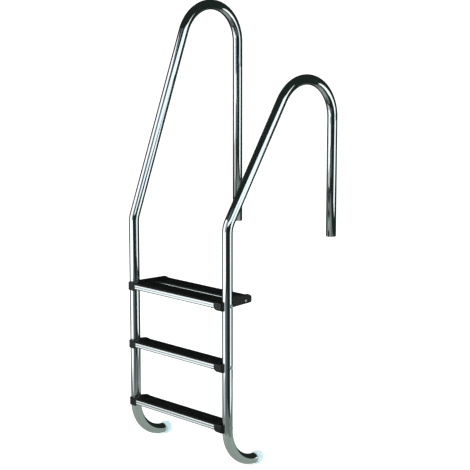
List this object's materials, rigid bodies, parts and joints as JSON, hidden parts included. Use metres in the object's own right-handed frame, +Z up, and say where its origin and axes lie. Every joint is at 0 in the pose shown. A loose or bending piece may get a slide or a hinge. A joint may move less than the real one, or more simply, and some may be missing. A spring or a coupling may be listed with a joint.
{
  "type": "pool ladder",
  "caption": "Pool ladder with one tall and one low bent tube handrail, narrow black treads and a double-depth top step, with rubber feet.",
  "frame": {"origin": "centre of the ladder's outline seen from above, at the height of the lowest point of the foot bumpers", "axes": "+X across the ladder towards the low handrail, +Y from the pool side towards the deck, +Z up along the rails"},
  "size_m": [0.616, 0.6654, 1.8709],
  "materials": {
    "polished_steel": "mirror-polished stainless steel tube",
    "tread_steel": "bright satin stainless sheet",
    "fastener_steel": "plain stainless steel",
    "black_plastic": "moulded, slightly glossy",
    "black_grip": "ribbed, matte, non-slip",
    "bumper_rubber": "milky, slightly see-through"
  },
  "bodies": {
    "root": {"tall_handrail": "polished_steel", "low_handrail": "polished_steel", "left_foot_bumper": "bumper_rubber", "right_foot_bumper": "bumper_rubber", "top_front_tread": "tread_steel", "top_front_grip": "black_grip", "top_rear_tread": "tread_steel", "top_rear_grip": "black_grip", "top_left_bracket": "black_plastic", "top_right_bracket": "black_plastic", "middle_tread": "tread_steel", "middle_grip": "black_grip", "middle_left_cap": "black_plastic", "middle_right_cap": "black_plastic", "lower_tread": "tread_steel", "lower_grip": "black_grip", "lower_left_cap": "black_plastic", "lower_right_cap": "black_plastic", "step_bolts": "fastener_steel", "saddle_washers": "fastener_steel", "step_nuts": "fastener_steel", "tread_screws": "fastener_steel", "bracket_screws": "fastener_steel"}
  },
  "joints": []
}
